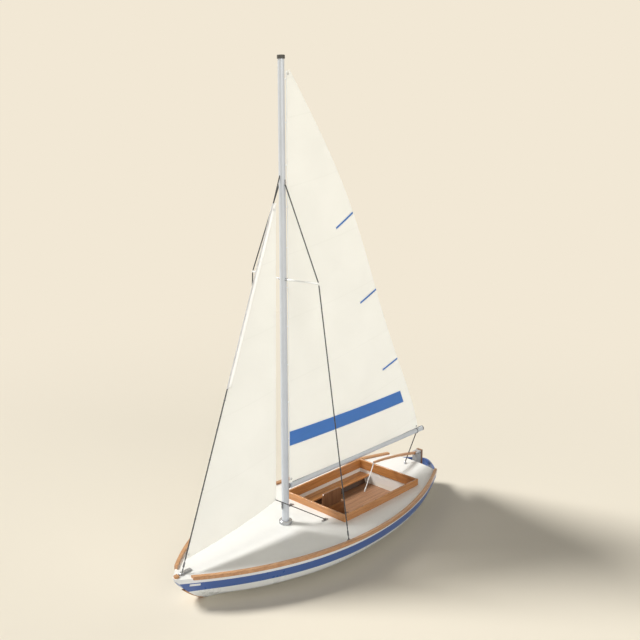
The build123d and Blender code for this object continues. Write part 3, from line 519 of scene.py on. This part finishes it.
bolt_circle, collar_top = 0.080, 0.552
collar_bolts = [
    turned((mast_x + bolt_circle * np.cos(a), bolt_circle * np.sin(a), collar_top), (0, 0, 1),
           [(-0.004, 0.008), (0.010, 0.008), (0.012, 0.006), (0.0125, 0.001)], 12)
    for a in np.radians(np.arange(30, 390, 60))]
tang_x, tang_z, spreader_z = 0.697, 5.50, 4.18
tang_low, tang_high = tang_z - 0.03, tang_z + 0.045
tang_shapes = []
for side in (1, -1):
    face = side * float(mast_radius(tang_z))
    outer = face + side * 0.0035
    tang_shapes.append(slab([(0.682, outer, tang_low), (0.712, outer, tang_low),
                             (0.709, outer, tang_high), (0.685, outer, tang_high)],
                            0.006 * side, 5, 9))
    tang_shapes.append(turned((tang_x, face, tang_z + 0.03), (0, side, 0),
                              [(0, 0.010), (0.010, 0.010), (0.013, 0.007), (0.0135, 0.001)], 12))
for side in (1, -1):
    tang_shapes.append(turned((tang_x, side * 0.045, spreader_z), (-0.04, side, 0.03),
                              [(0, 0.021), (0.030, 0.019), (0.034, 0.016), (0.036, 0.010)], 16))
dark_steel = finish(
    "dark_steel", drawn_metal,
    {"Metal": paint(112, 114, 118), "Tarnish": paint(72, 71, 70), "Spots": 0.4, "Gloss": 0.34},
    {"Metallic": 0.6})
add_mesh("mast_collar_bolts", *gather(collar_bolts), fitting_steel, "hull", "fitting_steel")
add_mesh("mast_tangs", *gather(tang_shapes), fitting_steel, "hull", "fitting_steel")

# Spreaders and standing rigging: white plastic spreaders with round tips hold the
# laid wire shrouds off the mast, and turnbuckles with forks tighten each wire.
white_plastic = finish(
    "white_moulding", gelcoat, {"Paint": paint(250, 250, 248), "Streaks": 0.05, "Gloss": 0.36}, {},
    relief=0.0001)
dress(["spreader_port", "spreader_starboard", "tiller_extension"], white_plastic)
wire_finish = finish(
    "laid_wire", drawn_metal,
    {"Metal": paint(84, 86, 88), "Tarnish": paint(50, 50, 50), "Spots": 0.4, "Gloss": 0.36,
     "Lay": 0.9}, {"Metallic": 0.5}, relief=0.0008)
dress(["shroud_port", "shroud_starboard", "forestay"], wire_finish)


def turnbuckle(foot, toward, reach=0.20):
    """A rigging screw along a wire: fork, lower stud, open body, upper stud and swaged terminal,
    as one turned profile of that length, its radii given in millimetres."""
    steps = np.array([
        (0.00, 5), (0.04, 9), (0.10, 9), (0.14, 6), (0.22, 6), (0.26, 11), (0.34, 12), (0.56, 12),
        (0.64, 11), (0.68, 6), (0.76, 6), (0.79, 8), (0.97, 8), (1.0, 5.5)])
    profile = np.stack([steps[:, 0] * reach, steps[:, 1] / 1000], -1)
    return turned(foot, np.asarray(toward, float) - np.asarray(foot, float), profile, 16)


def hoop(centre, size, tube, steps=24, sides=10, squash=1.0, ahead=False):
    """A ring: a tube round a circle of radius size whose height is multiplied by squash. It faces
    sideways, or ahead along the boat."""
    turn = np.linspace(0, 2 * np.pi, steps, endpoint=False)
    level, flat, high = size * np.cos(turn), 0 * turn, squash * size * np.sin(turn)
    around = np.stack([flat, level, high] if ahead else [level, flat, high], -1)
    return swept(np.asarray(centre, float) + around, tube, sides,
                 (1, 0, 0) if ahead else (0, 1, 0), ring=True)


def wire_cover(start, end, gap, short):
    """A plastic tube over a wire: it starts gap metres along the wire, its full width ends when
    it is short metres shorter than the wire, and both its ends are narrowed."""
    length = np.linalg.norm(end - start) - short
    way = end - start
    return turned(start + gap * way / np.linalg.norm(way), way,
                  [(0, 0.006), (0.004, 0.0085), (length, 0.0085), (length + 0.004, 0.006)], 14)


shroud_x = 0.476
rig_shapes, tip_shapes, cover_shapes = [], [], []
for side in (1, -1):
    shroud_foot = np.array((shroud_x, side * 1.046, 0.528))
    spreader_tip = np.array((0.673, side * 0.649, 4.200))
    shroud_head = np.array((mast_x, side * 0.050, tang_z))
    rig_shapes += [turnbuckle(shroud_foot, spreader_tip), hoop(shroud_foot, 0.010, 0.003, 20, 8)]
    tip_shapes.append(turned(
        spreader_tip - (0, side * 0.016, 0), (0, side, 0),
        [(0, 0.012), (0.006, 0.0145), (0.020, 0.0145), (0.026, 0.011), (0.028, 0.004)], 16))
    cover_shapes += [wire_cover(shroud_foot, spreader_tip, 0.205, 0.235),
                     wire_cover(spreader_tip, shroud_head, 0.025, 0.060)]
stay_foot, stay_head = np.array((2.634, 0.0, 0.494)), np.array((0.7465, 0.0, 5.580))
stay_way = (stay_head - stay_foot) / np.linalg.norm(stay_head - stay_foot)
rig_shapes.append(turnbuckle(stay_foot + stay_way * 0.03, stay_head, 0.17))
add_mesh("turnbuckles", *gather(rig_shapes), dark_steel, "hull", "wire_steel")
add_mesh("shroud_covers", *gather(cover_shapes), wire_finish, "hull", "wire_steel")
add_mesh("spreader_tips", *gather(tip_shapes), white_plastic, "hull", "white_plastic")

# Deck hardware: the stemhead fitting takes the forestay pin, the fairleads lead the
# jib sheets through hard grey bushes, and each foot is held by countersunk screws.
bow_pin = turned((2.655, -0.024, 0.484), (0, 1, 0),
                 [(0, 0.006), (0.048, 0.006), (0.049, 0.003)], 14)
screw_profile = [(-0.003, 0.006), (0.0008, 0.006), (0.0016, 0.0045), (0.0019, 0.001)]
fairlead_x, fairlead_y, fairlead_z, chainplate_y = 0.235, 0.360, 0.516, 1.050
deck_screws = [turned((x, 0, 0.502), (0, 0, 1), screw_profile, 12)
               for x in (2.50, 2.54, 2.58, 2.62)]
deck_screws += [turned((fairlead_x + x, y, 0.5045), (0, 0, 1), screw_profile, 12)
                for x in (-0.049, 0.049) for y in (-fairlead_y, fairlead_y)]
deck_screws += [turned((shroud_x + x, side * chainplate_y, z), (0, side, 0), screw_profile, 10)
                for x in (-0.018, 0.018) for z in (0.502, 0.520) for side in (1, -1)]
add_mesh("deck_screws", *gather([bow_pin] + deck_screws), dark_steel, "hull", "fitting_steel")
bushes = [hoop((fairlead_x, y, fairlead_z), 0.020, 0.006, squash=0.5)
          for y in (-fairlead_y, fairlead_y)]
add_mesh("fairlead_bushes", *gather(bushes), cap_plastic, "hull", "cap_grey")

# Boom: the same anodised tube, turning on a gooseneck pin, with a groove on top for
# the sail's foot, an end cap and a steel strap whose ring takes the mainsheet.
dress(["boom"], finish(
    "anodised_boom", drawn_metal, alloy_tones, {"Metallic": 0.2}, relief=0.0002, turn=(0, 90, 0)))
boom_axis_z, boom_top_z, sheet_eye_x, sheet_eye_z = 1.070, 1.110, -2.446, 1.012
gooseneck_pin = turned((0.615, 0, 1.032), (0, 0, 1),
                       [(0, 0.010), (0.006, 0.010), (0.007, 0.006), (0.070, 0.006), (0.071, 0.010),
                        (0.076, 0.010), (0.077, 0.004)], 16)
add_mesh("gooseneck_pin", *gooseneck_pin, dark_steel, "boom", "fitting_steel")


def straight(start, end, steps):
    """Evenly spaced points on the line from start to end."""
    share = np.linspace(0, 1, steps)[:, None]
    return np.asarray(start, float) * (1 - share) + np.asarray(end, float) * share


# The foot groove is the same dark tube, painted shade of the recess.
foot_groove = swept(straight((0.55, 0.0, boom_top_z), (-2.58, 0.0, boom_top_z), 40), 0.007, 10,
                    (0, 1, 0))
add_mesh("boom_foot_groove", *foot_groove, groove_shade_metal, "boom", "spar_alloy")
hanger = [hoop((sheet_eye_x, 0.0, boom_axis_z), 0.0465, 0.005, 40, ahead=True),
          hoop((sheet_eye_x, 0.0, sheet_eye_z), 0.013, 0.004)]
add_mesh("boom_sheet_strap", *gather(hanger), dark_steel, "boom", "fitting_steel")

# Mainsail: cross-cut woven polyester panels, sewn with flat seams, with a blue band,
# three blue batten pockets, a rope and white slides on its luff and pressed eyelets.
sailcloth, take = new_group("sewn_sailcloth", [
    ("Cloth", "Color", None), ("Seamed_and_shaded", "Color", None), ("Panel", "Float", 0.92),
    ("Gloss", "Float", 0.55)])
panel_slope, seam_width, thread_rate = 0.16, 0.018, 2600.0
aft_way, up_way = put(sailcloth, "SeparateXYZ", {0: take["Place"]}).outputs[:2]
slope = calc(sailcloth, "MULTIPLY_ADD", aft_way, panel_slope, up_way)
within = calc(sailcloth, "FRACT", calc(sailcloth, "DIVIDE", slope, take["Panel"]))
seam = calc(sailcloth, "LESS_THAN", within, seam_width)
weft, warp = (calc(sailcloth, "SINE", calc(sailcloth, "MULTIPLY", way, thread_rate))
              for way in (aft_way, up_way))
creases = noise(sailcloth, take["Place"], 1.6, 5.0, 0.5, 0.6)
threads = calc(sailcloth, "MULTIPLY", weft, warp)
woven = calc(sailcloth, "MULTIPLY_ADD", threads, 0.05, calc(sailcloth, "MULTIPLY", creases, 3.0))
# Painted shade in the creases: where the crease noise is high the cloth darkens towards its seamed
# colour, which also colours the real seams.
painted_crease_shade = ramp(sailcloth, creases, 0.35, 0.75, to_high=0.18)
seam_and_shade_share = calc(sailcloth, "MULTIPLY_ADD", seam, 0.14, painted_crease_shade)
give_out(sailcloth, tint(sailcloth, seam_and_shade_share, take["Cloth"], take["Seamed_and_shaded"]),
         calc(sailcloth, "MULTIPLY_ADD", creases, 0.15, take["Gloss"]),
         calc(sailcloth, "MULTIPLY_ADD", seam, 0.25, woven))

cloth_sheen = {"Sheen Weight": 0.15, "Sheen Roughness": 0.5, "Specular IOR Level": 0.35}
white_cloth = finish(
    "white_sailcloth", sailcloth, {"Cloth": paint(247, 247, 244), "Seamed_and_shaded": paint(230, 230, 226)},
    cloth_sheen, relief=0.0008, uv="cloth", through=0.55)
blue_cloth = finish(
    "blue_sailcloth", sailcloth, {"Cloth": paint(110, 164, 228), "Seamed_and_shaded": paint(94, 148, 212)},
    cloth_sheen, relief=0.0008, uv="cloth", through=0.5)

luff_x, foot_z, head_z = 0.604, 1.101, 6.963
knot_z = np.array((1.105, 2.485, 3.727, 4.975, 5.950, 6.963))
main_reach = np.polyfit(knot_z, (3.105, 2.498, 1.920, 1.360, 0.790, 0.070), 5)
main_belly = np.polyfit(knot_z, (0.003, 0.022, 0.030, 0.030, 0.024, 0.010), 3)


def main_point(x, z):
    """A point of the mainsail: at height z the cloth runs aft from the luff to the leech in a
    shallow arc, whose offset is four times the belly times the reach times s(1 - s), where s is
    the share of the way from luff to leech. Reach and belly are smooth curves of the height."""
    reach = np.polyval(main_reach, z)
    share = np.clip((luff_x - x) / reach, 0.0, 1.0)
    return np.stack([x, 4 * np.polyval(main_belly, z) * reach * share * (1 - share), z], -1)


def add_cloth(name, grids, thickness, material, body):
    """A sheet from grids of points, thickened evenly both ways, with its x and z in metres as
    the cloth's own map."""
    points, faces = gather([(grid.reshape(-1, 3), weave_faces(*grid.shape[:2])) for grid in grids])
    mesh = bpy.data.meshes.new(name)
    mesh.from_pydata(points.tolist(), [], faces)
    corner = np.empty(len(mesh.loops), dtype=np.int32)
    mesh.loops.foreach_get("vertex_index", corner)
    cloth_map = mesh.uv_layers.new(name="cloth")
    cloth_map.data.foreach_set("uv", points[corner][:, [0, 2]].ravel())
    mesh.polygons.foreach_set("use_smooth", [True] * len(mesh.polygons))
    mesh.materials.append(material)
    made = bpy.data.objects.new(name, mesh)
    bpy.context.scene.collection.objects.link(made)
    wall = made.modifiers.new("cloth_thickness", "SOLIDIFY")
    wall.thickness = thickness
    wall.offset = 0.0
    made.modifiers.new("even_shading", "WEIGHTED_NORMAL")
    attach(made, body)
    return made


rise, out = np.meshgrid(np.linspace(foot_z, head_z, 150), np.linspace(0, 1, 64), indexing="ij")
main_grid = main_point(luff_x - out * np.polyval(main_reach, rise), rise)
mainsail_cloth = add_cloth("mainsail_cloth", [main_grid], 0.004, white_cloth, "boom")
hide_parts("mainsail")

up_band, along = np.meshgrid(np.linspace(0, 1, 7), np.linspace(0, 1, 60), indexing="ij")
band_fore, band_aft = luff_x - 0.002, -2.065 + up_band * 0.104
band_grid = main_point(band_fore + along * (band_aft - luff_x), 1.690 + up_band * 0.220)
band_cloth = add_cloth("mainsail_blue_band", [band_grid], 0.007, blue_cloth, "boom")
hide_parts("mainsail_band")

pocket_grids = []
for inner, outer in (((-0.340, 4.781), (-0.790, 4.991)), ((-0.891, 3.583), (-1.345, 3.737)),
                     ((-1.473, 2.384), (-1.925, 2.494))):
    inner, outer = np.array(inner), np.array(outer)
    way = (outer - inner) / np.linalg.norm(outer - inner)
    across, along = np.meshgrid(np.linspace(-0.014, 0.014, 3), np.linspace(0, 1, 14), indexing="ij")
    end_x = luff_x - np.polyval(main_reach, outer[1]) + 0.006
    x = inner[0] + along * (end_x - inner[0]) - way[1] * across
    z = inner[1] + along * (inner[0] - end_x) * (way[1] / -way[0]) + way[0] * across
    pocket_grids.append(main_point(x, z))
batten_pockets = add_cloth("batten_pockets", pocket_grids, 0.010, blue_cloth, "boom")
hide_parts("mainsail_battens")

rope_z = np.linspace(1.15, 6.95, 120)
luff_rope = swept(np.stack([0 * rope_z + 0.6075, 0 * rope_z, rope_z], -1), 0.0055, 10, (0, 1, 0))
add_mesh("main_luff_rope", *luff_rope, white_plastic, "boom", "sailcloth")
slide_profile = [(0, 0.006), (0.004, 0.010), (0.022, 0.010), (0.028, 0.007), (0.030, 0.003)]
slides = [turned((0.602, 0, z), (1, 0, 0), slide_profile, 14) for z in np.linspace(1.25, 6.85, 11)]
add_mesh("main_luff_slides", *gather(slides), white_plastic, "boom", "white_plastic")
eyelet_tube = 0.0045
main_eyelets = [hoop(centre, 0.013, eyelet_tube, 28) for centre in (
    (0.575, 0.0, 1.165), (-2.455, 0.001, 1.150), (0.575, 0.0, 6.915))]
add_mesh("main_eyelets", *gather(main_eyelets), fitting_steel, "boom", "fitting_steel")


# Jib: the same cloth in narrower panels, hanked to the forestay inside a bright
# sleeve that covers the upper luff, with a ring at its clew for the two sheets.
def stay_line(z):
    """The forestay's x at height z, on its straight line from the stemhead to the mast."""
    run, climb = stay_head[0] - stay_foot[0], stay_head[2] - stay_foot[2]
    return stay_foot[0] + run * (z - stay_foot[2]) / climb


clew_x, clew_z, tack_z, jib_head_z = 0.891, 0.935, 0.660, 5.215
up_jib, back = np.meshgrid(np.linspace(0, 1, 130), np.linspace(0, 1, 40), indexing="ij")
foot_x = stay_line(tack_z) + back * (clew_x - stay_line(tack_z))
jib_foot_z = tack_z + back * (clew_z - tack_z)
head_x = stay_line(jib_head_z) - back * 0.060
jib_x = foot_x + (head_x - foot_x) * up_jib
jib_z = jib_foot_z + (jib_head_z - jib_foot_z) * up_jib
leech_x = clew_x + (head_x[0, -1] - clew_x) * (jib_z - clew_z) / (jib_head_z - clew_z)
chord = np.maximum(stay_line(jib_z) - leech_x, 0.05)
share = np.clip((stay_line(jib_z) - jib_x) / chord, 0.0, 1.0)
jib_grid = np.stack([jib_x, 4 * 0.030 * chord * share * (1 - share), jib_z], -1)
sleeve_foot_z = 2.848
into_sleeve = np.clip((jib_z - sleeve_foot_z) / 0.03, 0.0, 1.0)
jib_grid[..., 0] -= (0.004 + 0.048 * into_sleeve) * (1 - back)
jib_cloth = add_cloth("jib_cloth", [jib_grid], 0.0035, white_cloth, "hull")
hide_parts("jib")

up_sleeve, across_sleeve = np.meshgrid(
    np.linspace(sleeve_foot_z, 5.238, 90), np.linspace(0.012, -0.058, 9), indexing="ij")
sleeve_x = stay_line(up_sleeve) + across_sleeve
sleeve_grid = np.stack([sleeve_x, 0.001 + 0 * up_sleeve, up_sleeve], -1)
sleeve_finish = finish(
    "bright_luff_sleeve", sailcloth,
    {"Cloth": paint(255, 255, 255), "Seamed_and_shaded": paint(244, 244, 242), "Panel": 60.0},
    {"Sheen Weight": 0.2, "Specular IOR Level": 0.35}, relief=0.0004, uv="cloth", through=0.72)
jib_sleeve = add_cloth("jib_luff_sleeve", [sleeve_grid], 0.011, sleeve_finish, "hull")
luff_z = np.linspace(tack_z, 2.85, 60)
luff_path = np.stack([stay_line(luff_z), 0 * luff_z, luff_z], -1)
add_mesh("jib_luff_wire", *swept(luff_path, 0.0085, 14, (0, 1, 0), lay=0.05, strands=5),
         wire_finish, "hull", "wire_steel")
hank_profile = [(0, 0.0085), (0.002, 0.0120), (0.022, 0.0120), (0.024, 0.0085)]
hanks = [turned(np.array((stay_line(z), 0, z)) - stay_way * 0.012, stay_way, hank_profile, 12)
         for z in np.linspace(0.80, 2.70, 6)]
add_mesh("jib_hanks", *gather(hanks), dark_steel, "hull", "fitting_steel")
jib_eyelets = [hoop(centre, size, eyelet_tube, 28) for centre, size in (
    ((0.925, 0.0, 0.965), 0.013), ((stay_line(0.70) - 0.045, 0.001, 0.715), 0.011),
    ((stay_line(5.17) - 0.030, 0.0, 5.155), 0.010))]
add_mesh("jib_eyelets", *gather(jib_eyelets), fitting_steel, "hull", "fitting_steel")

# Running rigging: dark three-strand rope, hauled taut. The halyard comes out of the
# mast to the jib's head, the sheet leads to its fairlead, the mainsheet to the deck.
rope_finish = finish(
    "dark_rope", drawn_metal,
    {"Metal": paint(50, 50, 52), "Tarnish": paint(76, 75, 72), "Spots": 0.6, "Gloss": 0.62,
     "Lines": 220.0}, {"Sheen Weight": 0.3}, relief=0.0004)
halyard_low = (stay_line(5.225) - 0.004, 0.0, 5.230)
halyard_high = (mast_x + 0.046, 0.0, 5.600)
halyard = swept(straight(halyard_low, halyard_high, 40), 0.0065, 14, (0, 1, 0), lay=0.030)
sheet_start, sheet_end = (0.905, 0.004, 0.945), (0.245, 0.358, 0.524)
jib_sheet = swept(straight(sheet_start, sheet_end, 80), 0.0065, 14, (0, 0, 1), lay=0.026)
knot_turn = np.linspace(0, 6 * np.pi, 70)
knot_path = np.stack([0.222 + 0.006 * np.cos(knot_turn) - 0.0010 * knot_turn / np.pi,
                      fairlead_y + 0.008 * np.sin(knot_turn),
                      fairlead_z + 0.008 * np.cos(knot_turn + 0.6)], -1)
knot = swept(knot_path, 0.0036, 8, (0.3, 0.2, 1.0))
add_mesh("jib_halyard", *halyard, rope_finish, "hull", "sailcloth")
add_mesh("jib_sheet", *gather([jib_sheet, knot]), rope_finish, "hull", "sailcloth")
cleat_turn = np.linspace(0, 8 * np.pi, 160)
hitch_path = np.stack([0.768 + 0.004 * np.cos(cleat_turn), 0.014 * np.sin(cleat_turn),
                       0.80 + 0.040 * np.sin(cleat_turn / 2)], -1)
add_mesh("halyard_hitch", *swept(hitch_path, 0.0038, 8, (1.0, 0.1, 0.1)), rope_finish, "hull",
         "sailcloth")
main_foot, main_head = np.array((-2.171, 0.0, 0.580)), np.array((sheet_eye_x, 0.0, 1.006))
sheet_rope = swept(straight(main_foot, main_head, 60), 0.0085, 14, (0, 1, 0), lay=0.026)
mainsheet = add_mesh("mainsheet", *sheet_rope, rope_finish, None, "sailcloth")
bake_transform(mainsheet)

# Rudder: a cast grey head on a steel stock, a varnished cheek board and blade, an ash
# tiller bolted through the head and a white extension on a small universal joint.
rudder_tones = {"Pale": paint(156, 110, 74), "Dark": paint(116, 78, 50), "Gloss": 0.28}
dress(["rudder_board", "rudder_blade"], finish(
    "varnished_rudder", planked_wood, rudder_tones, varnish, turn=(0, 90, 0)))
dress(["tiller"], finish(
    "varnished_tiller", planked_wood,
    {"Pale": paint(206, 152, 106), "Dark": paint(168, 116, 74), "Gloss": 0.28}, varnish))
dress(["rudder_head"], finish(
    "cast_grey_head", gelcoat, {"Paint": paint(176, 177, 178), "Streaks": 0.25, "Gloss": 0.45},
    {"Metallic": 0.1}, relief=0.0006))
bolt_profile = [(-0.002, 0.011), (0.004, 0.011), (0.006, 0.009), (0.0065, 0.002)]
rudder_bolts = [turned((x, side * 0.052, z), (0, side, 0), bolt_profile, 12)
                for side in (1, -1) for z in (0.655, 0.42) for x in (-2.46, -2.52)]
add_mesh("rudder_bolts", *gather(rudder_bolts), dark_steel, "rudder", "fitting_steel")
swivel_foot, swivel_end = np.array((-1.330, 0.0, 0.838)), np.array((-1.306, 0.0, 0.790))
swivel = turned(swivel_foot, swivel_end - swivel_foot,
                [(0, 0.007), (0.006, 0.011), (0.016, 0.011), (0.020, 0.007), (0.034, 0.007),
                 (0.040, 0.0105), (0.052, 0.0105), (0.054, 0.006)], 14)
add_mesh("extension_swivel", *swivel, fitting_steel, "rudder", "fitting_steel")
grip_end = np.array((-1.104, 0.0, 0.388))
grip_way = grip_end - swivel_foot
grip = turned(grip_end + 0.002 * grip_way / np.linalg.norm(grip_way), -grip_way,
              [(0, 0.004), (0.004, 0.0105), (0.070, 0.0100), (0.074, 0.0085)], 14)
add_mesh("extension_grip", *grip, white_plastic, "rudder", "white_plastic")
